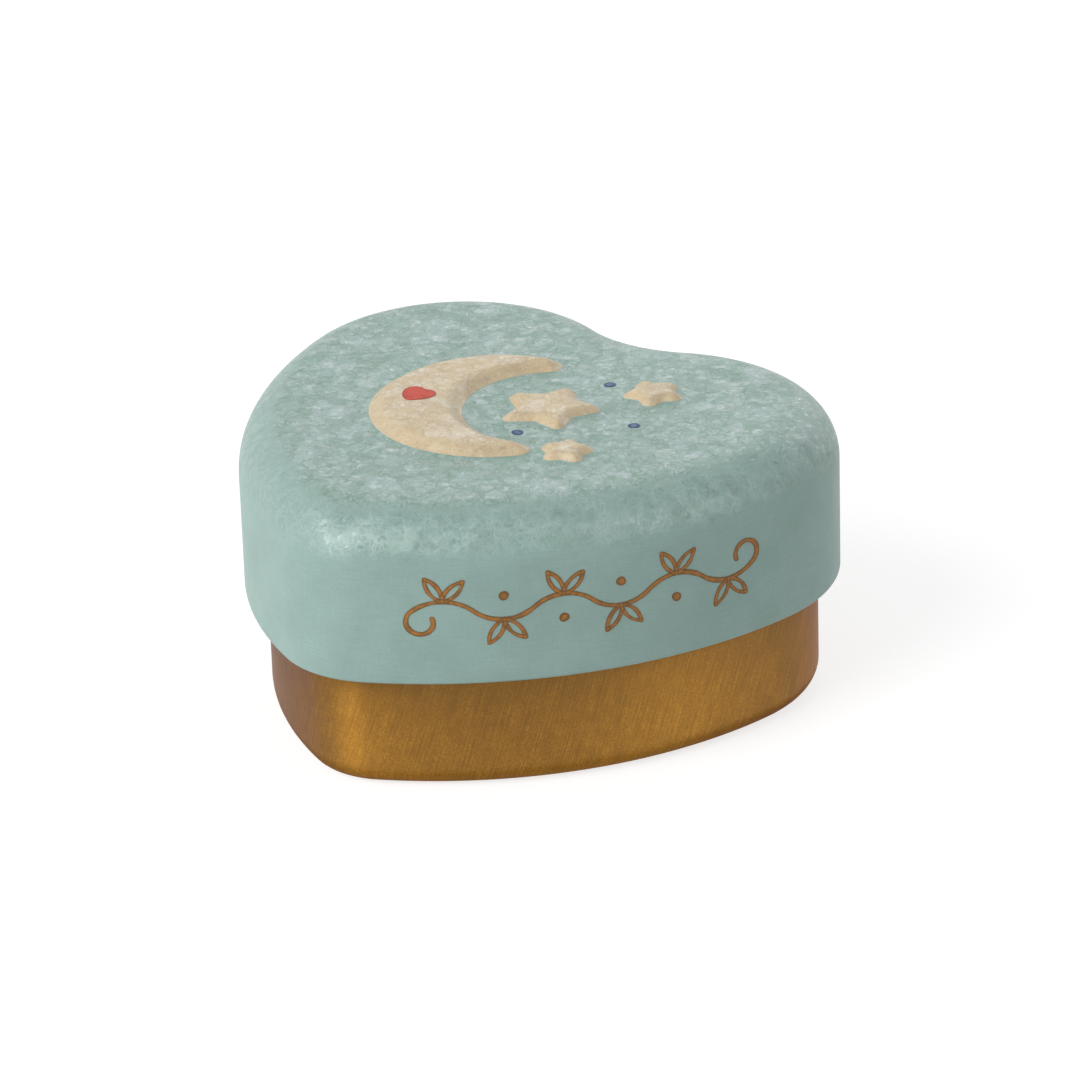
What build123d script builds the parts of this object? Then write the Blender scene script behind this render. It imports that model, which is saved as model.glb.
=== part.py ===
from build123d import *
import math
import os

# A small heart-shaped keepsake tin in two drawn pieces: a lid that slips over a base.
# Millimetres. +Z is up, the heart's tip points to -Y, and the origin is on the table,
# under the middle of the tin.

# Outline of the lid's skirt, seen from above
heart_width = 64.0
lobe_radius = 18.9
tip_radius = 11.2
tip_drop = 29.3  # from the lobes' centres down to the tip arc's centre
flank_radius = 49.0
cleft_radius = 13.3

# Heights and rounded edges
flat_top_height = 31.0
lid_height = 18.1
shoulder_radius = 5.8
foot_radius = 2.4

# Sheet metal, the lid's hem and the base's rolled mouth
sheet = 0.3
hem_height = 1.3
hem_round = 0.2
curl_diameter = 1.9
curl_turn = 290.0  # degrees
slip_clearance = 0.15  # between the hem and the curl
seat_gap = 0.1  # between the shoulder and the curl that it rests on

# Panel pressed up into the base's bottom
panel_inset = 5.0
panel_recess = 0.6
panel_round = 0.25

# Crescent moon raised on the lid
moon_radius = 13.0
moon_hollow_radius = 9.8
moon_hollow_shift = 6.4
moon_tilt = 28.0  # degrees
moon_horn_round = 1.4
moon_shift_x = -0.6
moon_shift_y = 1.4
moon_relief = 1.1
moon_edge_round = 0.9

# Stars raised beside the moon
star_points = 5
star_radii = (6.0, 3.9, 3.5)
star_place_shares = ((0.4, 0.18), (0.92, 0.88), (1.02, -0.42))  # of the moon's radius
star_turns = (12.0, -10.0, 24.0)  # degrees
star_notch_share = 0.56
star_point_round = 0.8
star_notch_round = 0.4
star_relief = 0.9
star_edge_round = 0.55

# Printed ink
ink = 0.06
blue_dot_radius = 0.6
blue_dot_place_shares = ((0.5, 0.86), (1.15, 0.3), (0.46, -0.31))  # of the moon's radius
red_heart_width = 3.6

# Vine printed on the right flank
vine_line = 0.5
vine_height_above_rim = 8.1
vine_wave_length = 12.0
vine_wave_height = 2.2
vine_waves = 3
leaf_length = 3.2
leaf_bulge_share = 0.46
leaf_tilts = (46.0, 122.0)  # degrees
berry_radius = 0.5
berry_gap = 2.6
tendril_radius = 1.5
tendril_turn = 250.0  # degrees

cut_overrun = 1.0

# What follows from these sizes
lobe_x = heart_width / 2 - lobe_radius
lobe_y = (tip_drop + tip_radius - lobe_radius) / 2
tip_y = lobe_y - tip_drop
cleft_y = lobe_y + math.sqrt((lobe_radius + cleft_radius) ** 2 - lobe_x**2)
rim_height = flat_top_height - lid_height
hem_thickness = 2 * sheet
base_inset = hem_thickness + slip_clearance + curl_diameter - sheet
curl_radius = curl_diameter / 2
curl_inset = base_inset + sheet - curl_radius
curl_reach = shoulder_radius - sheet - curl_radius - seat_gap
curl_rise = math.sqrt(curl_reach**2 - (shoulder_radius - curl_inset) ** 2)
curl_height = flat_top_height - shoulder_radius + curl_rise
lobe_centre = Vector(lobe_x, lobe_y)
tip_centre = Vector(0, tip_y)
cleft_centre = Vector(0, cleft_y)
moon_centre = Vector(moon_shift_x, moon_shift_y)


def find_flank_centre():
    """Centre of the right flank's arc, which touches the lobe and the tip from inside."""
    across = tip_centre - lobe_centre
    from_lobe = flank_radius - lobe_radius
    from_tip = flank_radius - tip_radius
    along = (across.length**2 + from_lobe**2 - from_tip**2) / (2 * across.length)
    aside = math.sqrt(from_lobe**2 - along**2)
    unit = across.normalized()
    return lobe_centre + unit * along + Vector(unit.Y, -unit.X) * aside


def heading(start, end):
    """Angle in degrees of the way from one point to another."""
    return math.degrees(math.atan2(end.Y - start.Y, end.X - start.X))


flank_centre = find_flank_centre()
flank_start = heading(flank_centre, tip_centre)
flank_end = heading(flank_centre, lobe_centre)
lobe_end = heading(lobe_centre, cleft_centre)


def right_half(inset):
    """Arcs from the tip round the right side to the cleft, moved inwards by inset."""
    return [
        CenterArc(tip_centre, tip_radius - inset, -90, flank_start + 90),
        CenterArc(flank_centre, flank_radius - inset, flank_start, flank_end - flank_start),
        CenterArc(lobe_centre, lobe_radius - inset, flank_end, lobe_end - flank_end),
        CenterArc(cleft_centre, cleft_radius + inset, lobe_end - 180, 90 - lobe_end),
    ]


def heart_face(inset):
    """The heart's outline, moved inwards by inset, as a flat face."""
    right = Curve() + right_half(inset)
    return make_face(right + mirror(right, Plane.YZ))


def heart_block(inset, bottom, top):
    """An upright block with the heart's outline."""
    return extrude(Pos(0, 0, bottom) * heart_face(inset), top - bottom)


def round_top(block, radius):
    """The block with its top edges rounded."""
    return fillet(block.faces().sort_by(Axis.Z)[-1].edges(), radius)


def round_bottom(block, radius):
    """The block with its bottom edges rounded."""
    return fillet(block.faces().sort_by(Axis.Z)[0].edges(), radius)


def moon_face():
    """Crescent with rounded horns, its hollow turned towards the upper right."""
    hollow = Rot(0, 0, moon_tilt) * Pos(moon_hollow_shift, 0) * Circle(moon_hollow_radius)
    crescent = Circle(moon_radius) - hollow
    rounded = fillet(crescent.vertices(), moon_horn_round)
    return Pos(moon_centre) * rounded


def star_face(radius):
    """Plump five-pointed star with rounded points and notches."""
    notch_reach = radius * star_notch_share
    middle = (radius + notch_reach) / 2
    corners = []
    for step in range(star_points):
        turn = 90 + 360 * step / star_points
        corners.append(Vector(radius, 0).rotate(Axis.Z, turn))
        corners.append(Vector(notch_reach, 0).rotate(Axis.Z, turn + 180 / star_points))
    star = make_face(Polyline(*corners, close=True))
    notches = star.vertices().filter_by(lambda corner: Vector(*corner).length < middle)
    star = fillet(notches, star_notch_round)
    points = star.vertices().filter_by(lambda corner: Vector(*corner).length > middle)
    return fillet(points, star_point_round)


def star_faces():
    """The three stars in their places beside the moon."""
    faces = []
    for radius, share, turn in zip(star_radii, star_place_shares, star_turns):
        place = moon_centre + Vector(*share) * moon_radius
        faces.append(Pos(place) * Rot(0, 0, turn) * star_face(radius))
    return faces


def raised_block(face, bottom, top, edge_round):
    """A relief motif as a block with a rounded top edge."""
    return round_top(extrude(Pos(0, 0, bottom) * face, top - bottom), edge_round)


def motifs():
    """Each raised motif: its outline, its relief and its edge round."""
    stars = [(face, star_relief, star_edge_round) for face in star_faces()]
    return [(moon_face(), moon_relief, moon_edge_round)] + stars


def make_lid_shell():
    """Drawn lid: flat top, round shoulder, straight skirt and a hem folded inwards at the rim."""
    ceiling = flat_top_height - sheet
    hem_top = rim_height + hem_height
    lid = round_top(heart_block(0, rim_height, flat_top_height), shoulder_radius)
    for face, relief, edge_round in motifs():
        lid += raised_block(face, flat_top_height, flat_top_height + relief, edge_round)
    lid -= round_top(heart_block(sheet, hem_top, ceiling), shoulder_radius - sheet)
    lid -= heart_block(hem_thickness, rim_height - cut_overrun, hem_top)
    for face, relief, edge_round in motifs():
        inner = offset(face, -sheet)
        lid -= raised_block(inner, ceiling, ceiling + relief, edge_round - sheet)
    return round_bottom(lid, hem_round)


def make_curl():
    """Open tube rolled outwards along the base's mouth."""
    ring = [CenterArc((0, 0), radius, 180, -curl_turn) for radius in (curl_radius, curl_radius - sheet)]
    ends = [Line(ring[0] @ end, ring[1] @ end) for end in (0, 1)]
    section = make_face(Curve() + ring + ends)
    mouth = [Pos(0, 0, curl_height) * arc for arc in right_half(curl_inset)]
    first = Plane(origin=mouth[0] @ 0, x_dir=(0, -1, 0), z_dir=(1, 0, 0))
    half = sweep(first * section, Wire(mouth))
    return half + mirror(half, Plane.YZ)


def make_base_shell():
    """Drawn base: rounded foot, straight wall, rolled mouth and a panel pressed up in the bottom."""
    panel = base_inset + panel_inset
    base = round_bottom(heart_block(base_inset, 0, curl_height), foot_radius)
    cavity = heart_block(base_inset + sheet, sheet, curl_height + cut_overrun)
    base -= round_bottom(cavity, foot_radius - sheet)
    base += round_top(heart_block(panel - sheet, sheet, sheet + panel_recess), panel_round)
    base -= round_top(heart_block(panel, -cut_overrun, panel_recess), panel_round)
    return base + make_curl()


def make_print(face, relief, edge_round):
    """Ink that covers one raised motif, over its top and down its sides."""
    top = flat_top_height + relief
    covered = raised_block(face, flat_top_height, top, edge_round)
    return raised_block(offset(face, ink), flat_top_height, top + ink, edge_round + ink) - covered


def make_blue_dots():
    """Small round dots printed on the lid's top, near the stars."""
    places = [moon_centre + Vector(*share) * moon_radius for share in blue_dot_place_shares]
    dot = Pos(0, 0, flat_top_height) * extrude(Circle(blue_dot_radius), ink)
    return [Pos(place) * dot for place in places]


def make_red_heart():
    """Small heart printed on the moon's widest part."""
    small = scale(heart_face(0), red_heart_width / heart_width)
    waist = (moon_hollow_shift - moon_hollow_radius - moon_radius) / 2
    place = moon_centre + Vector(waist, 0).rotate(Axis.Z, moon_tilt)
    return Pos(place) * Pos(0, 0, flat_top_height + moon_relief + ink) * extrude(small, ink)


def vine_stem():
    """Wavy line from left to right, with a curled tendril at each end."""
    step = vine_wave_length / 2
    arcs = []
    for number in range(2 * vine_waves):
        left = (number - vine_waves) * step
        rise = vine_wave_height / 2 * (-1) ** number
        arcs.append(ThreePointArc((left, 0), (left + step / 2, rise), (left + step, 0)))
    slope = 2 * math.degrees(math.atan(2 * vine_wave_height / vine_wave_length))
    for end, side in ((arcs[-1] @ 1, 1), (arcs[0] @ 0, -1)):
        centre = Vector(end.X, end.Y) + Vector(0, side * tendril_radius).rotate(Axis.Z, slope)
        arcs.append(CenterArc(centre, tendril_radius, slope - 90 * side, tendril_turn))
    return trace(Curve() + arcs, vine_line)


def leaf_face():
    """Outline of one leaf as a line of even weight, pointing to the right from the origin."""
    bulge = leaf_length * leaf_bulge_share / 2
    upper = ThreePointArc((0, 0), (leaf_length / 2, bulge), (leaf_length, 0))
    blade = make_face(Curve() + [upper, mirror(upper, Plane.XZ)])
    return blade - offset(blade, -vine_line, kind=Kind.INTERSECTION)


def vine_sketch():
    """The vine flat: a wavy stem with two leaves at each crest and a berry across from them."""
    step = vine_wave_length / 2
    drawing = vine_stem()
    for number in range(2 * vine_waves):
        side = (-1) ** number
        crest = Vector((number - vine_waves + 1 / 2) * step, side * vine_wave_height / 2)
        for tilt in leaf_tilts:
            drawing += Pos(crest) * Rot(0, 0, side * tilt) * leaf_face()
        if 0 < number < 2 * vine_waves - 1:
            drawing += Pos(crest - Vector(0, side * berry_gap)) * Circle(berry_radius)
    return drawing


def make_gold_vine():
    """The vine printed on the right flank: its drawing, cut out of a thin skin on the wall."""
    half_length = (vine_waves * vine_wave_length) / 2 + 2 * tendril_radius
    sag = flank_radius - math.sqrt(flank_radius**2 - half_length**2)
    outward = Vector(1, 0).rotate(Axis.Z, (flank_start + flank_end) / 2)
    middle = flank_centre + outward * flank_radius
    height = rim_height + vine_height_above_rim
    wall = Plane(origin=(middle.X, middle.Y, height), x_dir=(-outward.Y, outward.X, 0), z_dir=outward)
    prism = extrude(wall.offset(-sag - cut_overrun) * vine_sketch(), sag + 2 * cut_overrun)
    skin = heart_block(-ink, rim_height, flat_top_height - shoulder_radius)
    skin -= heart_block(0, rim_height, flat_top_height - shoulder_radius)
    return prism & skin


parts = {}
parts["lid_shell"] = make_lid_shell()
parts["base_shell"] = make_base_shell()
prints = [make_print(*motif) for motif in motifs()]
parts["moon_print"] = prints[0]
parts["star_prints"] = Compound(children=prints[1:])
parts["blue_dot_prints"] = Compound(children=make_blue_dots())
parts["red_heart_print"] = make_red_heart()
parts["gold_vine_print"] = make_gold_vine()

os.makedirs("parts", exist_ok=True)
for name, shape in parts.items():
    export_step(shape, f"parts/{name}.step")
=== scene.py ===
import bmesh
import bpy
import math
import numpy as np
from mathutils import Matrix, Vector
from mathutils.geometry import delaunay_2d_cdt


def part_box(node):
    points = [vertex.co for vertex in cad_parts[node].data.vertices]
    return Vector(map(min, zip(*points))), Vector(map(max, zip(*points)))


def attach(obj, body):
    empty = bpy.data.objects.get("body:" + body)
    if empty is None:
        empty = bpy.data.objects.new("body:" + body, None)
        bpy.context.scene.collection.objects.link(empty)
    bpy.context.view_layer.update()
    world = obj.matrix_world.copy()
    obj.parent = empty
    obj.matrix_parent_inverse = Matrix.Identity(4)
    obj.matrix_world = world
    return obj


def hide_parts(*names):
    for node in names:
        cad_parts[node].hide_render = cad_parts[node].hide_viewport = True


# The looks of a heart-shaped keepsake tin: a mint lid with raised, printed motifs over a gold base.
# Metres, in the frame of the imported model: +Z is up and the heart's tip points to -Y.
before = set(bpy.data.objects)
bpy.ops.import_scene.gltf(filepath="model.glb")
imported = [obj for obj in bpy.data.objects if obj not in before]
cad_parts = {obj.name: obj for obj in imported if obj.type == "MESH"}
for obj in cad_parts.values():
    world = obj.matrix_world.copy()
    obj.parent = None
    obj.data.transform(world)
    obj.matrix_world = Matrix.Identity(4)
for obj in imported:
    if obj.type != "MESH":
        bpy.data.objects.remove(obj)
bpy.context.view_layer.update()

mm = 0.001
lid_low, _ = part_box("lid_shell")
_, base_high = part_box("base_shell")

# Outline of the lid's skirt, seen from above
heart_width = 64.0 * mm
lobe_radius = 18.9 * mm
tip_radius = 11.2 * mm
tip_drop = 29.3 * mm
flank_radius = 49.0 * mm
cleft_radius = 13.3 * mm

# Heights and rounded edges
flat_top_height = 31.0 * mm
rim_height = lid_low.z
shoulder_radius = 5.8 * mm
foot_radius = 2.4 * mm

# Sheet metal, the lid's hem and the base's rolled mouth
sheet = 0.3 * mm
hem_height = 1.3 * mm
hem_thickness = 2 * sheet
hem_tuck = 0.04 * mm  # bevel where the hem's free edge meets the skirt
curl_radius = 0.95 * mm
curl_turn = 290.0  # degrees
wall_end_share = 1.2  # of the curl's radius, from its middle down to where the wall's even rows end
slip_clearance = 0.15 * mm
base_inset = hem_thickness + slip_clearance + 2 * curl_radius - sheet
curl_inset = base_inset + sheet - curl_radius
curl_height = base_high.z - curl_radius

# Panel pressed up into the base's bottom
panel_inset = 5.0 * mm
panel_recess = 0.6 * mm
panel_round = 0.45 * mm

# Crescent moon and stars raised on the lid
moon_radius = 13.0 * mm
moon_hollow_radius = 9.8 * mm
moon_hollow_shift = 6.4 * mm
moon_tilt = 28.0  # degrees
moon_horn_round = 1.4 * mm
moon_centre = Vector((-0.6 * mm, 1.4 * mm))
moon_relief = 1.1 * mm
star_points = 5
star_radii = (6.0 * mm, 3.9 * mm, 3.5 * mm)
star_place_shares = ((0.4, 0.18), (0.92, 0.88), (1.02, -0.42))  # of the moon's radius
star_turns = (12.0, -10.0, 24.0)  # degrees
star_notch_share = 0.56
star_point_round = 0.8 * mm
star_notch_round = 0.4 * mm
star_relief = 0.9 * mm

# Section of a raised edge: how far it runs out at its foot and in over its top
relief_foot = 0.35 * mm
moon_edge = 1.7 * mm
star_edge = 0.95 * mm
relief_crown_share = 0.12  # of the relief, which rises on towards the motif's middle
relief_crown_run = 2.4 * mm
relief_blur = 0.22 * mm

# Printed ink
ink = 0.05 * mm
ink_border = 0.06 * mm
ink_fade = 0.12 * mm
ink_root = 0.03 * mm
ink_border_share = 0.4  # of the ink's thickness, left at its border
dot_sway_shares = (0.05, 0.03)  # of a dot's radius, swaying twice and three times round
blue_dot_radius = 0.6 * mm
blue_dot_place_shares = ((0.5, 0.86), (1.15, 0.3), (0.46, -0.31))  # of the moon's radius
red_heart_width = 3.6 * mm

# Vine printed on the right flank
vine_line = 0.5 * mm
vine_height = rim_height + 8.1 * mm
vine_wave_length = 12.0 * mm
vine_wave_height = 2.2 * mm
vine_waves = 3
leaf_length = 3.2 * mm
leaf_line_share = 0.85
leaf_bulge_share = 0.46
leaf_tilts = (46.0, 122.0)  # degrees
berry_radius = 0.5 * mm
berry_gap = 2.6 * mm
tendril_radius = 1.5 * mm
tendril_turn = 250.0  # degrees
tendril_taper_share = 0.25  # of its radius, lost towards its end
brush_swell_share = 0.1  # of the line's width
brush_swell_points = 4  # from one swell to the next
brush_shake_share = 0.02  # of the line's width

# Steps of the meshes
outline_step = 0.35 * mm
lid_top_step = 0.36 * mm
lid_ceiling_step = 0.6 * mm
base_panel_step = 1.2 * mm
cap_clear_share = 0.6  # of a cap's step, kept free along its border
cap_rows = range(-3, 11)  # rows of points along a motif's border, half a cap's step apart
cap_row_share = 0.8  # of a cap's step, from point to point in a row
relief_grid_step = 0.12 * mm
relief_grid_margin = 2.0 * mm
border_step = 0.12 * mm
print_border_step = 0.2 * mm
print_rows = 12  # rows of points along a print's border
print_row_gap = 0.16 * mm
print_row_step = 0.24 * mm
print_field_step = 0.3 * mm
corner_points = 12
dot_points = 30
moon_arc_points = 60
wave_points = 24
tendril_points = 40
leaf_points = 16
stroke_end_turns = (-60, -30, 0, 30, 60)  # degrees off the line's own direction
contour_tolerance = 0.02 * mm
merge_distance = 0.002 * mm
sharp_edge_angle = 40.0  # degrees
distance_batch = 4000  # points measured at a time

# Cells of the crackled glaze: size in mm, the veins' width as a share of it, weights of veins and patches
crackle_layers = (
    (2.2, 0.07, 1.0, 0.36),
    (1.1, 0.12, 0.9, 0.36),
    (0.55, 0.18, 0.6, 0.28),
)

# Camera, as fitted to the photograph
camera_azimuth = 37.784  # degrees
camera_elevation = 24.513  # degrees
camera_roll = -1.832  # degrees
camera_distance = 600.5 * mm
camera_lens = 187.53  # millimetres
aim_right = -2.386 * mm
aim_up = 11.320 * mm

# White studio: how strongly it lights the tin, and how bright the camera and gloss see it
world_light = 0.375
world_seen = 1.0
floor_bounce = 0.8  # share of the light that the floor sends back to the tin
floor_seen = 0.38  # the same, as the camera sees it
floor_glow_seen = 0.74  # light of its own, for the camera and gloss alone
floor_reach = 3.0
floor_drop = 0.01 * mm


# Plane figures

def turned(x, y, degrees):
    """The vector (x, y) turned about Z."""
    turn = math.radians(degrees)
    return Vector((x * math.cos(turn) - y * math.sin(turn), x * math.sin(turn) + y * math.cos(turn)))


def heading(start, end):
    """Angle in degrees of the way from one point to another."""
    return math.degrees(math.atan2(end.y - start.y, end.x - start.x))


lobe_centre = Vector((heart_width / 2 - lobe_radius, (tip_drop + tip_radius - lobe_radius) / 2))
tip_centre = Vector((0, lobe_centre.y - tip_drop))
cleft_rise = math.sqrt((lobe_radius + cleft_radius) ** 2 - lobe_centre.x**2)
cleft_centre = Vector((0, lobe_centre.y + cleft_rise))


def find_flank_centre():
    """Centre of the right flank's arc, which touches the lobe and the tip from inside."""
    across = tip_centre - lobe_centre
    from_lobe = flank_radius - lobe_radius
    from_tip = flank_radius - tip_radius
    along = (across.length_squared + from_lobe**2 - from_tip**2) / (2 * across.length)
    aside = math.sqrt(from_lobe**2 - along**2)
    unit = across.normalized()
    return lobe_centre + unit * along + Vector((unit.y, -unit.x)) * aside


flank_centre = find_flank_centre()
flank_start = heading(flank_centre, tip_centre)
flank_end = heading(flank_centre, lobe_centre)
lobe_end = heading(lobe_centre, cleft_centre)


def heart_loop(step):
    """Arc centres, radii and outward directions of points round the heart, from its tip."""
    arcs = [
        (tip_centre, tip_radius, -90.0, flank_start),
        (flank_centre, flank_radius, flank_start, flank_end),
        (lobe_centre, lobe_radius, flank_end, lobe_end),
        (cleft_centre, -cleft_radius, lobe_end, 90.0),
    ]
    rows = []
    for centre, radius, start, end in arcs:
        count = max(2, round(abs(math.radians(end - start) * radius) / step))
        for share in np.arange(count) / count:
            way = turned(1, 0, start + (end - start) * share)
            rows.append((*centre, radius, *way))
    last = (*cleft_centre, -cleft_radius, 0.0, 1.0)
    right = np.array(rows)
    left = right[:0:-1] * (-1, 1, 1, -1, 1)
    loop = np.vstack([right, [last], left])
    return loop[:, :2], loop[:, 2:3], loop[:, 3:]


loop_centres, loop_radii, loop_ways = heart_loop(outline_step)


def ring(inset):
    """The heart's outline moved inwards by inset."""
    return loop_centres + (loop_radii - inset) * loop_ways


def arc_path(inset, height, radius, start, end, count):
    """Points (inset, height) on an arc of a wall's section; 0 degrees points outwards, 90 up."""
    angles = np.radians(np.linspace(start, end, count))
    return [(inset - radius * math.cos(angle), height + radius * math.sin(angle)) for angle in angles]


def wall_path(inset, start, end, count):
    """Points (inset, height) of an upright wall, at even heights."""
    return [(inset, height) for height in np.linspace(start, end, count)]


def distance_inside(points, border, normals):
    """How far each point lies inside a closed border, negative outside it."""
    found = np.empty(len(points))
    for first in range(0, len(points), distance_batch):
        part = points[first : first + distance_batch]
        gap = part[:, None, :] - border[None, :, :]
        squares = (gap**2).sum(2)
        nearest = squares.argmin(1)
        rows = np.arange(len(part))
        side = (gap[rows, nearest] * normals[nearest]).sum(1)
        found[first : first + distance_batch] = -np.sign(side) * np.sqrt(squares[rows, nearest])
    return found


def normals_of(border):
    """Outward normals of a closed counter-clockwise border."""
    along = np.roll(border, -1, 0) - np.roll(border, 1, 0)
    along /= np.linalg.norm(along, axis=1)[:, None]
    return np.stack([along[:, 1], -along[:, 0]], 1)


def even_steps(border, step):
    """The closed border with points at even steps along it."""
    closed = np.vstack([border, border[:1]])
    lengths = np.linalg.norm(np.diff(closed, axis=0), axis=1)
    along = np.concatenate([[0], np.cumsum(lengths)])
    count = max(8, round(along[-1] / step))
    places = np.arange(count) / count * along[-1]
    return np.stack([np.interp(places, along, closed[:, axis]) for axis in (0, 1)], 1)


def rounded_polygon(corners, rounds):
    """A closed polygon with each corner rounded by its own radius."""
    points = []
    for number, corner in enumerate(corners):
        before = (corners[number - 1] - corner).normalized()
        after = (corners[(number + 1) % len(corners)] - corner).normalized()
        half = before.angle(after) / 2
        middle = corner + (before + after).normalized() * (rounds[number] / math.sin(half))
        reach = rounds[number] / math.tan(half)
        start = heading(middle, corner + before * reach)
        sweep = (heading(middle, corner + after * reach) - start + 180) % 360 - 180
        for share in np.linspace(0, 1, corner_points):
            points.append(middle + turned(rounds[number], 0, start + sweep * share))
    return np.array(points)


# Raised motifs and the relief they press into the sheet

def moon_border():
    """Outline of the crescent, whose hollow is turned towards the upper right."""
    outer = moon_radius - moon_horn_round
    hollow = moon_hollow_radius + moon_horn_round
    horn_x = (outer**2 - hollow**2 + moon_hollow_shift**2) / (2 * moon_hollow_shift)
    horn = Vector((horn_x, math.sqrt(outer**2 - horn_x**2)))
    shift = Vector((moon_hollow_shift, 0))
    out_angle = heading(Vector((0, 0)), horn)
    in_angle = heading(shift, horn)
    arcs = [
        (Vector((0, 0)), moon_radius, out_angle, 360 - out_angle),
        (Vector((horn.x, -horn.y)), moon_horn_round, -out_angle, 180 - in_angle),
        (shift, moon_hollow_radius, -in_angle, in_angle - 360),
        (horn, moon_horn_round, in_angle - 180, out_angle),
    ]
    points = []
    for centre, radius, start, end in arcs:
        for share in np.arange(moon_arc_points) / moon_arc_points:
            place = centre + turned(radius, 0, start + (end - start) * share)
            points.append(moon_centre + turned(*place, moon_tilt))
    return np.array(points)


def star_border(place, radius, turn):
    """Outline of one plump star with rounded points and notches."""
    corners = []
    for step in range(2 * star_points):
        reach = radius if step % 2 == 0 else radius * star_notch_share
        corners.append(place + turned(reach, 0, turn + 90 + 180 * step / star_points))
    return rounded_polygon(corners, (star_point_round, star_notch_round) * star_points)


def make_motifs():
    """Each raised motif: its name, border, normals, relief and the width of its rounded edge."""
    borders = [("moon", moon_border(), moon_relief, moon_edge)]
    for number, (radius, share, turn) in enumerate(zip(star_radii, star_place_shares, star_turns)):
        place = moon_centre + Vector(share) * moon_radius
        borders.append((f"star_{number + 1}", star_border(place, radius, turn), star_relief, star_edge))
    found = []
    for name, border, relief, edge in borders:
        even = even_steps(border, border_step)
        found.append((name, even, normals_of(even), relief, edge))
    return found


motifs = make_motifs()


def smooth(share):
    """Share from 0 to 1, eased at both ends."""
    share = np.clip(share, 0, 1)
    return share * share * (3 - 2 * share)


def relief_grid():
    """Lowest corner and heights of the relief on a square grid, blurred as a sheet bends."""
    edges = np.vstack([border for _, border, _, _, _ in motifs])
    low, high = edges.min(0) - relief_grid_margin, edges.max(0) + relief_grid_margin
    across, along = (np.arange(low[axis], high[axis], relief_grid_step) for axis in (0, 1))
    points = np.stack(np.meshgrid(across, along, indexing="ij"), -1).reshape(-1, 2)
    height = np.zeros(len(points))
    for _, border, normals, relief, edge_width in motifs:
        inside = distance_inside(points, border, normals)
        edge = smooth((inside + relief_foot) / (relief_foot + edge_width))
        crown = 1 - np.exp(-np.clip(inside, 0, None) / relief_crown_run)
        height += relief * (edge * (1 - relief_crown_share) + crown * relief_crown_share)
    grid = height.reshape(len(across), len(along))
    reach = math.ceil(3 * relief_blur / relief_grid_step)
    weights = np.exp(-((np.arange(-reach, reach + 1) * relief_grid_step / relief_blur) ** 2) / 2)
    weights /= weights.sum()
    for axis in (0, 1):
        grid = sum(weight * np.roll(grid, place - reach, axis) for place, weight in enumerate(weights))
    return low, grid


grid_low, grid_heights = relief_grid()


def relief_at(points):
    """Height of the pressed relief over the lid's flat top."""
    end = np.array(grid_heights.shape) - 1.001  # just short of the last cell
    place = np.clip((points - grid_low) / relief_grid_step, 0, end)
    cell = place.astype(int)
    x, y = (place - cell).T
    column, row = cell.T
    left = grid_heights[column, row] * (1 - y) + grid_heights[column, row + 1] * y
    right = grid_heights[column + 1, row] * (1 - y) + grid_heights[column + 1, row + 1] * y
    return left * (1 - x) + right * x


# Meshes

def field_of_points(border, step, clear):
    """Points of a triangle grid that lie inside a border and keep clear of it."""
    low, high = border.min(0), border.max(0)
    rows = np.arange(low[1], high[1], step * math.sqrt(3) / 2)
    points = []
    for number, y in enumerate(rows):
        row = np.arange(low[0] + step / 2 * (number % 2), high[0], step)
        points.append(np.stack([row, np.full(len(row), y)], 1))
    points = np.vstack(points)
    return points[distance_inside(points, border, normals_of(border)) > clear]


def contour_points(border, normals, insets, step):
    """Points along a border at several insets, left out where the insets run into each other."""
    stride = max(1, round(step / np.linalg.norm(border[1] - border[0])))
    found = []
    for inset in insets:
        points = border[::stride] - normals[::stride] * inset
        inside = distance_inside(points, border, normals)
        found.append(points[abs(inside - inset) < contour_tolerance])
    return np.vstack(found)


def triangles(borders, inner):
    """Points and triangles that fill the closed borders, and 1 for each point on a border, else 0."""
    corners = np.vstack([*borders, inner])
    faces, first = [], 0
    for border in borders:
        faces.append(list(range(first, first + len(border))))
        first += len(border)
    flat = [Vector(corner / mm) for corner in corners]
    inside_only = 1
    closeness = 1e-5
    points, _, made, sources, _, origins = delaunay_2d_cdt(flat, [], faces, inside_only, closeness)
    filled = [tuple(face) for face, origin in zip(made, origins) if origin]
    on_border = [0.0 if source and min(source) >= first else 1.0 for source in sources]
    return np.array([tuple(point) for point in points]) * mm, filled, on_border


def new_object(name, data):
    """A new object in the scene that holds a mesh, a lamp or a camera."""
    made = bpy.data.objects.new(name, data)
    bpy.context.scene.collection.objects.link(made)
    return made


def new_piece(name, points, faces, materials, material_of_face=None, on_border=None):
    """A mesh object with merged points, outward faces and smooth shading up to an angle."""
    mesh = bpy.data.meshes.new(name)
    mesh.from_pydata([tuple(point) for point in points], [], faces)
    for material in materials:
        mesh.materials.append(material)
    if material_of_face is not None:
        mesh.polygons.foreach_set("material_index", material_of_face)
    if on_border is not None:
        mesh.attributes.new("border", "FLOAT", "POINT").data.foreach_set("value", on_border)
    work = bmesh.new()
    work.from_mesh(mesh)
    bmesh.ops.remove_doubles(work, verts=work.verts, dist=merge_distance)
    bmesh.ops.recalc_face_normals(work, faces=work.faces)
    work.to_mesh(mesh)
    work.free()
    mesh.shade_smooth()
    mesh.set_sharp_from_angle(angle=math.radians(sharp_edge_angle))
    return new_object(name, mesh)


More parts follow.
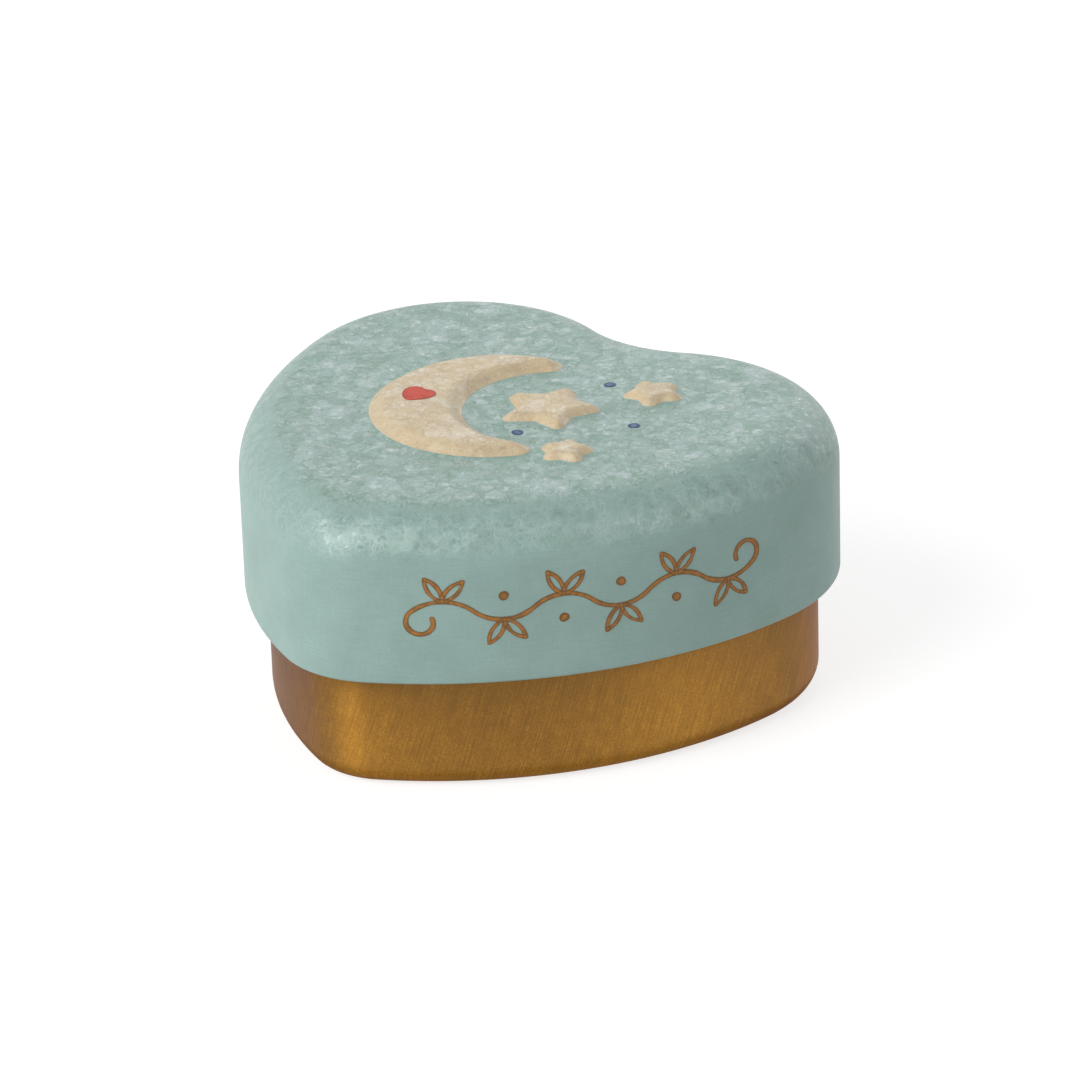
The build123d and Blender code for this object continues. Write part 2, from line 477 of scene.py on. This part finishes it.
def loft(path):
    """Points and quads of rings round the heart, one for each (inset, height) of the path."""
    count = len(loop_ways)
    rings = [np.column_stack([ring(inset), np.full(count, height)]) for inset, height in path]
    faces = []
    for level in range(len(path) - 1):
        low, high = level * count, (level + 1) * count
        for place in range(count):
            beside = (place + 1) % count
            faces.append((low + place, low + beside, high + beside, high + place))
    return np.vstack(rings), faces


def same_height(height):
    """A function that gives every point the same height."""
    return lambda points: np.full(len(points), height)


def cap(inset, height_at, step, with_motifs=False):
    """Points and triangles of the flat area within one ring, at the heights of a function."""
    border = ring(inset)
    inner = field_of_points(border, step, step * cap_clear_share)
    if with_motifs:
        parts = []
        insets = np.array(cap_rows) * step / 2
        for _, edge, normals, _, _ in motifs:
            near = distance_inside(inner, edge, normals)
            inner = inner[(near < insets[0] - step / 2) | (near > insets[-1] + step / 2)]
            parts.append(contour_points(edge, normals, insets, step * cap_row_share))
        inner = np.vstack([inner, *parts])
    points, faces, _ = triangles([border], inner)
    return np.column_stack([points, height_at(points)]), faces


def join_parts(parts):
    """Several (points, faces, material number) as one list of points, faces and materials."""
    all_points, all_faces, numbers, first = [], [], [], 0
    for points, faces, number in parts:
        all_points.append(points)
        all_faces += [tuple(corner + first for corner in face) for face in faces]
        numbers += [number] * len(faces)
        first += len(points)
    return np.vstack(all_points), all_faces, numbers


# Metal pieces

def make_lid(outside, inside):
    """The drawn lid, pressed out under its motifs, with a hem folded inwards at its rim."""
    shoulder_height = flat_top_height - shoulder_radius
    fold = hem_thickness / 2
    hem_top = rim_height + hem_height
    outer = arc_path(shoulder_radius, shoulder_height, shoulder_radius, 90, 0, count=17)
    outer += wall_path(0, shoulder_height, rim_height + fold, count=9)[1:]
    outer += arc_path(fold, rim_height + fold, fold, 0, -180, count=9)[1:]
    outer += [(hem_thickness, hem_top - fold / 2), (hem_thickness - fold / 3, hem_top)]
    outer += [(sheet + hem_tuck, hem_top)]
    inner = [(sheet + hem_tuck, hem_top), (sheet, hem_top + hem_tuck)]
    inner += wall_path(sheet, rim_height + 2 * hem_height, shoulder_height, count=6)
    inner += arc_path(shoulder_radius, shoulder_height, shoulder_radius - sheet, 0, 90, count=11)[1:]

    def top(points):
        return flat_top_height + relief_at(points)

    def ceiling(points):
        return flat_top_height - sheet + relief_at(points)

    parts = [
        (*loft(outer), 0),
        (*loft(inner), 1),
        (*cap(shoulder_radius, top, lid_top_step, with_motifs=True), 0),
        (*cap(shoulder_radius, ceiling, lid_ceiling_step, with_motifs=True), 1),
    ]
    points, faces, numbers = join_parts(parts)
    piece = new_piece("mint_lid", points, faces, [outside, inside], numbers)
    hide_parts("lid_shell")
    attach(piece, "lid")


def make_base(outside, inside):
    """The drawn base: recessed bottom, round foot, straight wall and a mouth rolled outwards."""
    panel = base_inset + panel_inset
    wall_end = curl_height - curl_radius * wall_end_share
    bend = panel_round
    outer = [(panel + bend, panel_recess)]
    outer += arc_path(panel + bend, panel_recess - bend, bend, 90, 30, count=5)[1:]
    outer += [(panel, bend / 3), (panel - bend / 3, 0)]
    outer += arc_path(base_inset + foot_radius, foot_radius, foot_radius, -90, 0, count=11)
    outer += wall_path(base_inset, foot_radius, wall_end, count=12)[1:]
    outer += [(base_inset, curl_height)]
    outer += arc_path(curl_inset, curl_height, curl_radius - sheet, 180, 180 - curl_turn, count=25)[1:]
    outer += arc_path(curl_inset, curl_height, curl_radius, 180 - curl_turn, 180, count=33)
    wall = base_inset + sheet
    inner = wall_path(wall, curl_height, foot_radius, count=12)
    inner += arc_path(wall + foot_radius - sheet, foot_radius, foot_radius - sheet, 0, -90, count=9)[1:]
    inner += [(panel - sheet - bend / 3, sheet), (panel - sheet, sheet + bend / 3)]
    inner += arc_path(panel + bend, panel_recess + sheet - bend, bend + sheet, 30, 90, count=5)
    parts = [
        (*loft(outer), 0),
        (*loft(inner), 1),
        (*cap(panel + bend, same_height(panel_recess), base_panel_step), 0),
        (*cap(panel + bend, same_height(panel_recess + sheet), base_panel_step), 1),
    ]
    points, faces, numbers = join_parts(parts)
    piece = new_piece("gold_base", points, faces, [outside, inside], numbers)
    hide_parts("base_shell")
    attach(piece, "base")


# Printed pieces

def ink_layer(name, borders, inner, place, material, lift_at):
    """A closed thin layer of ink over flat borders; place turns flat points and a lift into the frame."""
    points, faces, on_border = triangles(borders, inner)
    top = place(points, lift_at(points))
    bottom = place(points, np.full(len(points), -ink_root))
    count = len(points)
    edges = dict.fromkeys(edge for face in faces for edge in zip(face, face[1:] + face[:1]))
    rims = [(start, end) for start, end in edges if (end, start) not in edges]
    all_faces = faces + [tuple(corner + count for corner in face[::-1]) for face in faces]
    all_faces += [(start, end, end + count, start + count) for start, end in rims]
    piece = new_piece(name, np.vstack([top, bottom]), all_faces, [material], on_border=on_border * 2)
    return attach(piece, "lid")


def on_top(points, lift):
    """Flat points as points over the lid's pressed top."""
    return np.column_stack([points, flat_top_height + relief_at(points) + lift])


def make_motif_prints(cream):
    """Cream ink over each raised motif; its border fades down onto the mint."""
    for name, border, normals, _, _ in motifs:
        edge = even_steps(border + normals * ink_border, print_border_step)
        insets = np.arange(print_rows) * print_row_gap
        rows = contour_points(border, normals, insets, print_row_step)
        field = field_of_points(border, print_field_step, insets[-1] + print_row_gap)

        def lift(points):
            inside = distance_inside(points, border, normals) + ink_border
            return ink * (ink_border_share + (1 - ink_border_share) * smooth(inside / ink_fade))

        inner = np.vstack([rows, field])
        ink_layer(f"{name}_cream_print", [edge], inner, on_top, cream, lift)
    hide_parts("moon_print")
    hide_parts("star_prints")


def uneven_dot(place, radius, number):
    """Border of a round dot, each number a little uneven in another way."""
    turns = np.radians(np.arange(dot_points) * 360 / dot_points)
    twice, thrice = dot_sway_shares
    radii = radius * (1 + twice * np.sin(2 * turns + number) + thrice * np.sin(3 * turns + 2 * number))
    return place + np.stack([np.cos(turns), np.sin(turns)], 1) * radii[:, None]


def make_blue_dots(blue):
    """Small round dots near the stars."""
    places = [np.array(moon_centre + Vector(share) * moon_radius) for share in blue_dot_place_shares]
    borders = [uneven_dot(place, blue_dot_radius, number) for number, place in enumerate(places)]
    piece = ink_layer("blue_dots", borders, np.array(places), on_top, blue, same_height(ink))
    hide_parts("blue_dot_prints")


def make_red_heart(red):
    """Small heart printed over the cream at the moon's waist."""
    waist = (moon_hollow_shift - moon_hollow_radius - moon_radius) / 2
    place = np.array(moon_centre + turned(waist, 0, moon_tilt))
    border = even_steps(ring(0) * (red_heart_width / heart_width), border_step) + place
    field = field_of_points(border, print_field_step, border_step)
    piece = ink_layer("red_heart", [border], field, on_top, red, same_height(2 * ink))
    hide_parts("red_heart_print")


def stroke(line, widths):
    """Closed border of a brush stroke along a line, with round ends."""
    along = np.gradient(line, axis=0)
    along /= np.linalg.norm(along, axis=1)[:, None]
    aside = np.stack([-along[:, 1], along[:, 0]], 1) * widths[:, None] / 2
    ends = []
    for place, way, width in ((line[-1], along[-1], widths[-1]), (line[0], -along[0], widths[0])):
        turn = math.degrees(math.atan2(way[1], way[0]))
        ends.append([place + np.array(turned(width / 2, 0, turn + side)) for side in stroke_end_turns])
    return np.vstack([line - aside, ends[0], (line + aside)[::-1], ends[1]])


def brush_widths(count, seed):
    """Widths of a hand-drawn line: slow swells and small shakes about the line's width."""
    rough = np.random.default_rng(seed)
    places = np.arange(count)
    knots = np.arange(0, count + 3 * brush_swell_points, brush_swell_points)
    swell = np.interp(places, knots, rough.normal(0, brush_swell_share, len(knots)))
    return vine_line * (1 + swell + rough.normal(0, brush_shake_share, count))


def vine_line_points():
    """The wavy stem from left to right, with a curled tendril at each end."""
    step = vine_wave_length / 2
    rise = vine_wave_height / 2
    radius = (step**2 / 4 + rise**2) / (2 * rise)
    spread = math.degrees(math.asin(step / 2 / radius))
    points = []
    for number in range(2 * vine_waves):
        side = (-1) ** number
        centre = Vector(((number - vine_waves + 1 / 2) * step, side * (rise - radius)))
        for share in np.arange(wave_points) / wave_points:
            angle = 90 + spread - 2 * spread * share
            points.append(centre + turned(radius, 0, side * angle))
    end = Vector((vine_waves * step, 0))
    tails = []
    for place, side in ((end, 1), (-end, -1)):
        centre = place + turned(0, side * tendril_radius, spread)
        turns = np.linspace(0, tendril_turn, tendril_points)
        radii = tendril_radius * (1 - tendril_taper_share * turns / tendril_turn)
        reaches = [turned(reach, 0, spread - 90 * side + turn) for reach, turn in zip(radii, turns)]
        tails.append([centre + reach for reach in reaches])
    return np.array(tails[1][::-1] + points + tails[0])


def leaf_lines(crest, turn):
    """The two curved lines of a leaf, from its root to its point."""
    length = leaf_length - vine_line / 2
    bulge = (leaf_length * leaf_bulge_share - vine_line) / 2
    radius = (length**2 / 4 + bulge**2) / (2 * bulge)
    spread = math.degrees(math.asin(length / 2 / radius))
    found = []
    for side in (1, -1):
        line = []
        for share in np.linspace(0, 1, leaf_points):
            spot = turned(radius, 0, 90 + spread - 2 * spread * share)
            spot = Vector((spot.x + length / 2, side * (spot.y - radius + bulge)))
            line.append(crest + turned(*spot, turn))
        found.append(np.array(line))
    return found


def make_vine(gold):
    """The vine brushed on the right flank, laid round the wall."""
    middle = (flank_start + flank_end) / 2
    step = vine_wave_length / 2
    lines, spots, shares = [vine_line_points()], [], [1.0]
    for number in range(2 * vine_waves):
        side = (-1) ** number
        crest = Vector(((number - vine_waves + 1 / 2) * step, side * vine_wave_height / 2))
        for tilt in leaf_tilts:
            lines += leaf_lines(crest, side * tilt)
            shares += [leaf_line_share] * 2
        if 0 < number < 2 * vine_waves - 1:
            spots.append(np.array(crest - Vector((0, side * berry_gap))))
    borders = []
    for seed, (line, share) in enumerate(zip(lines, shares)):
        borders.append(stroke(line, brush_widths(len(line), seed) * share))
    borders += [uneven_dot(spot, berry_radius, number) for number, spot in enumerate(spots)]

    def on_wall(points, lift):
        angles = np.radians(middle) + np.arcsin(points[:, 0] / flank_radius)
        reach = flank_radius + lift
        x = flank_centre.x + reach * np.cos(angles)
        y = flank_centre.y + reach * np.sin(angles)
        return np.column_stack([x, y, vine_height + points[:, 1]])

    centres = np.vstack([*lines, spots])
    piece = ink_layer("gold_vine", borders, centres, on_wall, gold, same_height(ink))
    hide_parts("gold_vine_print")


# Materials

class Shader:
    """The node tree of a material or of the world, built with short calls."""

    def __init__(self, owner):
        owner.use_nodes = True
        self.owner = owner
        self.tree = owner.node_tree
        self.tree.nodes.clear()

    def add(self, kind, inputs, **settings):
        """A node with its settings, whose inputs are linked or set."""
        node = self.tree.nodes.new("ShaderNode" + kind)
        for key, value in settings.items():
            setattr(node, key, value)
        for key, value in inputs.items():
            if isinstance(value, bpy.types.NodeSocket):
                self.tree.links.new(value, node.inputs[key])
            else:
                node.inputs[key].default_value = value
        return node

    def place(self):
        """The point in the piece's own frame, in millimetres."""
        return self.scale(self.add("TexCoord", {}).outputs["Object"], 1 / mm)

    def upward(self):
        """How far the surface faces up, from -1 to 1."""
        normal = self.add("TexCoord", {}).outputs["Normal"]
        return self.add("SeparateXYZ", {0: normal}).outputs["Z"]

    def seen(self):
        """1 where the camera, gloss or glass sees it, 0 where it only lights other things."""
        rays = self.add("LightPath", {}).outputs
        direct = self.maths("MAXIMUM", rays["Is Camera Ray"], rays["Is Glossy Ray"])
        return self.maths("MAXIMUM", direct, rays["Is Transmission Ray"])

    def noise(self, where, size, detail=2.0, output="Fac"):
        """Cloudy noise with blobs of that size in millimetres."""
        return self.add("TexNoise", {"Vector": where, "Scale": 1 / size, "Detail": detail}).outputs[output]

    def strokes(self, where, turn, length, width):
        """Brush strokes on the wall rolled out flat, turned by degrees from level; sizes in millimetres."""
        parts = self.add("SeparateXYZ", {0: where}).outputs
        angle = self.maths("ARCTAN2", parts["X"], self.maths("MULTIPLY", parts["Y"], -1.0))
        along = self.maths("MULTIPLY", angle, heart_width / 2 / mm)
        rolled = self.add("CombineXYZ", {"X": along, "Y": parts["Z"]}).outputs[0]
        inputs = {"Vector": rolled, "Rotation": (0, 0, math.radians(turn)), "Scale": (length, width, 1)}
        turned_out = self.add("Mapping", inputs, vector_type="TEXTURE").outputs[0]
        return self.noise(turned_out, size=1.0, detail=3.0)

    def cells(self, where, size, output, **settings):
        """Voronoi cells of that size in millimetres."""
        return self.add("TexVoronoi", {"Vector": where, "Scale": 1 / size}, **settings).outputs[output]

    def maths(self, operation, first, second=0.0, third=0.0):
        """What an operation makes of numbers."""
        return self.add("Math", {0: first, 1: second, 2: third}, operation=operation).outputs[0]

    def vector(self, operation, first, second):
        """What an operation makes of two vectors."""
        return self.add("VectorMath", {0: first, 1: second}, operation=operation).outputs[0]

    def scale(self, vector, factor):
        """The vector, longer by a factor."""
        return self.add("VectorMath", {0: vector, "Scale": factor}, operation="SCALE").outputs[0]

    def channel(self, tone, number):
        """One channel of a colour, counted from 0."""
        return self.add("SeparateColor", {0: tone}).outputs[number]

    def stretch(self, value, low, high, to_low=0.0, to_high=1.0):
        """The value eased from low..high to another span."""
        inputs = {"Value": value, "From Min": low, "From Max": high, "To Min": to_low, "To Max": to_high}
        return self.add("MapRange", inputs, interpolation_type="SMOOTHSTEP").outputs[0]

    def mix(self, share, first, second):
        """Two colours mixed; at a share of 1 it is the second alone."""
        return self.add("Mix", {0: share, 6: first, 7: second}, data_type="RGBA").outputs[2]

    def bump(self, height, strength, distance, normal=None):
        """A normal bent by a height from 0 to 1 over that distance in millimetres."""
        inputs = {"Height": height, "Strength": strength, "Distance": distance * mm}
        if normal is not None:
            inputs["Normal"] = normal
        return self.add("Bump", inputs).outputs[0]

    def finish(self, **inputs):
        """The surface itself, with the values of the shader's own sockets."""
        surface = self.add("BsdfPrincipled", inputs)
        self.add("OutputMaterial", {"Surface": surface.outputs[0]})
        return self.owner


def new_material(name):
    """The empty node tree of a new material."""
    return Shader(bpy.data.materials.new(name))


def colour(red, green, blue):
    """A colour given as the 0 to 255 values that a picture shows."""
    values = []
    for value in (red, green, blue):
        share = value / 255
        values.append(share / 12.92 if share <= 0.04045 else ((share + 0.055) / 1.055) ** 2.4)
    return (*values, 1.0)


def grey(value):
    """A plain grey of that brightness."""
    return (value, value, value, 1.0)


def crackle(shader, where):
    """Crackled glaze: shares of pale patches, dark veins and glints, and the lean of each facet."""
    middle = (0.5, 0.5, 0.5)
    drift = shader.vector("SUBTRACT", shader.noise(where, size=1.0, detail=1.5, output="Color"), middle)
    bent = shader.vector("ADD", where, shader.scale(drift, 1.1))
    patches, veins, lean = 0.0, 0.0, (0.0, 0.0, 0.0)
    for size, vein_width, vein_weight, patch_weight in crackle_layers:
        tone = shader.cells(bent, size, "Color")
        edge = shader.cells(bent, size, "Distance", feature="DISTANCE_TO_EDGE")
        pale = shader.stretch(shader.channel(tone, 0), 0.45, 0.75)
        patches = shader.maths("MULTIPLY_ADD", pale, patch_weight, patches)
        veins = shader.maths("MAXIMUM", shader.stretch(edge, 0.0, vein_width, vein_weight, 0.0), veins)
        lean = shader.vector("ADD", shader.vector("SUBTRACT", tone, middle), lean)
    gaps = shader.stretch(shader.noise(where, size=1.5), 0.35, 0.6, 0.35, 1.0)
    glints = shader.stretch(shader.channel(tone, 1), 0.72, 0.82)
    return patches, shader.maths("MULTIPLY", veins, gaps), glints, lean


def facets(shader, lean, strength):
    """The surface's normal tilted a little, another way in each facet."""
    normal = shader.add("NewGeometry", {}).outputs["Normal"]
    tilted = shader.vector("ADD", normal, shader.scale(lean, strength))
    return shader.vector("NORMALIZE", tilted, (0, 0, 0))


def specks(shader, where, size):
    """Few tiny marks, one in some of the cells of that size in millimetres."""
    near = shader.stretch(shader.cells(where, size, "Distance"), 0.025, 0.04, 1.0, 0.0)
    chosen = shader.channel(shader.cells(where, size, "Color"), 2)
    return shader.maths("MULTIPLY", near, shader.stretch(chosen, 0.85, 0.88))


def glazed(name, deep, body, pale, bare, bare_from):
    """Lacquer under a crackled glaze, its crackle painted most where the surface faces up. There its pale
    patches are painted sheen; the shoulder has painted shade and painted glints along its veins.
    """
    shader = new_material(name)
    speck = colour(70, 78, 70)
    where = shader.place()
    patches, veins, glints, lean = crackle(shader, where)
    upward = shader.upward()
    flat = shader.stretch(upward, bare_from, 0.99)
    crown = shader.stretch(upward, 0.0, 0.5)
    shoulder = shader.maths("SUBTRACT", crown, flat)
    grain = shader.noise(where, size=0.16)
    cloud = shader.noise(where, size=5.0, detail=3.0)
    level = shader.strokes(where, turn=0.0, length=3.0, width=0.14)
    upright = shader.strokes(where, turn=90.0, length=1.5, width=0.2)
    weave = shader.maths("MULTIPLY_ADD", level, 0.65, shader.maths("MULTIPLY", upright, 0.35))
    # Painted shade: the shoulder is darkened towards the deep tone by how far it faces up.
    base = shader.mix(shader.stretch(crown, 0.0, 1.0, 0.0, 0.36), bare, deep)
    base = shader.mix(flat, base, body)
    base = shader.mix(shader.stretch(grain, 0.3, 0.7, 0.0, 0.3), base, pale)
    base = shader.mix(shader.stretch(weave, 0.3, 0.7, 0.0, 0.25), base, deep)
    base = shader.mix(shader.stretch(cloud, 0.35, 0.65, 0.0, 0.2), base, deep)
    # Painted sheen: pale crackle patches, mostly on the top, where the glaze catches the light.
    base = shader.mix(shader.maths("MULTIPLY", patches, shader.stretch(flat, 0, 1, 0.04, 0.85)), base, pale)
    base = shader.mix(shader.maths("MULTIPLY", veins, shader.stretch(flat, 0, 1, 0.02, 0.9)), base, deep)
    # Painted glints: the veins turn pale along the shoulder, where the highlight falls.
    base = shader.mix(shader.maths("MULTIPLY", veins, shader.stretch(shoulder, 0, 1, 0.0, 0.45)), base, pale)
    base = shader.mix(shader.maths("MULTIPLY", specks(shader, where, 5.0), 0.8), base, speck)
    normal = facets(shader, lean, shader.stretch(crown, 0.0, 1.0, 0.02, 0.16))
    relief = shader.stretch(crown, 0.0, 1.0, 0.02, 0.32)
    normal = shader.bump(patches, relief, distance=0.05, normal=normal)
    normal = shader.bump(shader.maths("SUBTRACT", 1.0, veins), relief, distance=0.05, normal=normal)
    normal = shader.bump(grain, strength=0.25, distance=0.03, normal=normal)
    rough = shader.stretch(shader.maths("MULTIPLY", patches, crown), 0.0, 1.0, 0.52, 0.36)
    rough = shader.maths("MULTIPLY_ADD", shader.maths("MULTIPLY", glints, crown), -0.16, rough)
    return shader.finish(**{"Base Color": base, "Roughness": rough, "Normal": normal})


def satin_gold():
    """Satin gold lacquer over brushed tinplate, with painted shade towards its rim and under its foot."""
    shader = new_material("satin_gold")
    warm = colour(142, 98, 26)
    pale = colour(178, 127, 40)
    brown = colour(141, 97, 25)
    dark = colour(116, 79, 18)
    shade = colour(60, 38, 10)
    where = shader.place()
    height = shader.add("SeparateXYZ", {0: where}).outputs["Z"]
    under = shader.stretch(shader.upward(), -0.45, 0.08, 1.0, 0.0)
    grain = shader.noise(where, size=0.2, detail=4.0)
    strokes = shader.strokes(where, turn=68.0, length=6.0, width=0.16)
    cloud = shader.noise(where, size=1.5, detail=4.0)
    base = shader.mix(shader.stretch(grain, 0.3, 0.7), warm, pale)
    base = shader.mix(shader.stretch(cloud, 0.3, 0.7, 0.0, 0.5), base, brown)
    base = shader.mix(shader.stretch(strokes, 0.35, 0.65, 0.0, 0.5), base, dark)
    # Painted shade: darker towards the rim, as under the lid's overhang.
    base = shader.mix(shader.stretch(height, 3.5, 11.5, 0.0, 0.34), base, dark)
    # Painted shade under the foot, where it turns down towards the floor.
    base = shader.mix(shader.maths("MULTIPLY", under, 0.22), base, shade)
    normal = shader.bump(grain, strength=0.5, distance=0.04)
    normal = shader.bump(strokes, strength=0.3, distance=0.03, normal=normal)
    rough = shader.stretch(strokes, 0.3, 0.7, 0.42, 0.5)
    tangent = shader.add("Tangent", {}, direction_type="RADIAL", axis="Z").outputs[0]
    linked = {"Base Color": base, "Roughness": rough, "Normal": normal, "Tangent": tangent}
    metal = {"Metallic": 0.9, "Specular Tint": colour(150, 132, 132)}
    brushed = {"Anisotropic": 0.9, "Anisotropic Rotation": 0.25}
    lacquer = {"Coat Weight": shader.stretch(under, 0.0, 1.0, 0.5, 0.15), "Coat Roughness": 0.42}
    return shader.finish(**linked, **metal, **brushed, **lacquer)


def print_ink(name, dark, light, size):
    """Satin ink that pools unevenly, darker along its borders."""
    shader = new_material(name)
    where = shader.place()
    pool = shader.noise(where, size, detail=3.0)
    grain = shader.noise(where, size=0.15)
    border = shader.add("Attribute", {}, attribute_name="border").outputs["Fac"]
    along_border = shader.stretch(border, 0.3, 1.0, 0.0, 0.8)
    share = shader.maths("ADD", along_border, shader.stretch(pool, 0.4, 0.65, 0.0, 0.5))
    base = shader.mix(shader.stretch(share, 0.0, 1.0), light, dark)
    normal = shader.bump(grain, strength=0.3, distance=0.02)
    satin = {"Roughness": 0.6, "Specular IOR Level": 0.35}
    return shader.finish(**{"Base Color": base, "Normal": normal}, **satin)


# Camera, lamps and studio

def direction(azimuth, elevation):
    """Unit vector away from the tin; azimuth 0 points to -Y and 90 to +X, in degrees."""
    turn, rise = math.radians(azimuth), math.radians(elevation)
    return Vector((math.sin(turn) * math.cos(rise), -math.cos(turn) * math.cos(rise), math.sin(rise)))


def make_camera():
    """The photograph's view."""
    roll = math.radians(camera_roll)
    back = direction(camera_azimuth, camera_elevation)
    level = direction(camera_azimuth + 90, 0)
    upright = back.cross(level)
    right = level * math.cos(roll) + upright * math.sin(roll)
    up = upright * math.cos(roll) - level * math.sin(roll)
    aim = Vector((0, lobe_centre.y, 0)) + right * aim_right + up * aim_up
    data = bpy.data.cameras.new("camera")
    data.lens = camera_lens
    camera = new_object("camera", data)
    turn = Matrix((right, up, back)).transposed().to_4x4()
    camera.matrix_world = Matrix.Translation(aim + back * camera_distance) @ turn
    bpy.context.scene.camera = camera


def make_sun(name, strength, spread, turn, elevation, glossy=True, diffuse=True):
    """A soft lamp turned from the camera, in degrees. Gloss or matt colour may leave it out."""
    data = bpy.data.lights.new(name, "SUN")
    data.energy = strength
    data.angle = math.radians(spread)
    lamp = new_object(name, data)
    lamp.visible_glossy = glossy
    lamp.visible_diffuse = diffuse
    lamp.rotation_mode = "QUATERNION"
    lamp.rotation_quaternion = direction(camera_azimuth + turn, elevation).to_track_quat("Z", "Y")


def make_lights():
    """Two soft lamps at the left, a weaker one at the right, two behind and three for gloss alone."""
    make_sun("side", strength=1.0, spread=60, turn=-80, elevation=15, glossy=False)
    make_sun("key", strength=1.95, spread=40, turn=-50, elevation=35, glossy=False)
    make_sun("fill", strength=0.12, spread=20, turn=58, elevation=30, glossy=False)
    make_sun("left_sheen", strength=2.4, spread=40, turn=-53, elevation=38, diffuse=False)
    make_sun("right_sheen", strength=0.8, spread=30, turn=58, elevation=30, diffuse=False)
    make_sun("edge_sheen", strength=0.12, spread=20, turn=150, elevation=15, diffuse=False)
    make_sun("back_right", strength=0.3, spread=30, turn=130, elevation=15)
    make_sun("rim", strength=0.5, spread=40, turn=168, elevation=32)


def make_world():
    """White where the camera, gloss or glass sees it, and a plain soft light elsewhere."""
    world = bpy.data.worlds.new("studio")
    bpy.context.scene.world = world
    shader = Shader(world)
    strength = {"Value": shader.seen(), "To Min": world_light, "To Max": world_seen}
    glow = {"Color": grey(1.0), "Strength": shader.add("MapRange", strength).outputs[0]}
    background = shader.add("Background", glow)
    shader.add("OutputWorld", {"Surface": background.outputs[0]})


def make_floor():
    """A white floor that keeps the tin's soft shadow."""
    signs = ((-1, -1), (1, -1), (1, 1), (-1, 1))
    corners = [(x * floor_reach, y * floor_reach, -floor_drop) for x, y in signs]
    mesh = bpy.data.meshes.new("floor")
    mesh.from_pydata(corners, [], [(0, 1, 2, 3)])
    shader = new_material("floor_white")
    seen = shader.seen()
    strength = shader.maths("MULTIPLY", seen, floor_glow_seen)
    glow = shader.add("Emission", {"Color": grey(1.0), "Strength": strength})
    matte = shader.add("BsdfDiffuse", {"Color": shader.mix(seen, grey(floor_bounce), grey(floor_seen))})
    both = shader.add("AddShader", {0: glow.outputs[0], 1: matte.outputs[0]})
    shader.add("OutputMaterial", {"Surface": both.outputs[0]})
    mesh.materials.append(shader.owner)
    new_object("floor", mesh)


# The scene
mint = glazed(
    "mint_glaze",
    deep=colour(106, 137, 122),
    body=colour(136, 163, 154),
    pale=colour(163, 184, 184),
    bare=colour(139, 166, 160),
    bare_from=0.86,
)
cream = glazed(
    "cream_glaze",
    deep=colour(178, 156, 118),
    body=colour(198, 180, 146),
    pale=colour(214, 202, 180),
    bare=colour(196, 172, 132),
    bare_from=0.8,
)
gold = satin_gold()
make_lid(mint, gold)
make_base(gold, gold)
make_motif_prints(cream)
make_blue_dots(print_ink("blue_ink", dark=colour(42, 62, 100), light=colour(86, 108, 142), size=0.6))
make_red_heart(print_ink("red_ink", dark=colour(156, 42, 30), light=colour(194, 70, 52), size=0.8))
make_vine(print_ink("gold_ink", dark=colour(110, 76, 36), light=colour(156, 106, 50), size=0.7))
make_camera()
make_lights()
make_world()
make_floor()
bpy.context.scene.view_settings.view_transform = "Standard"
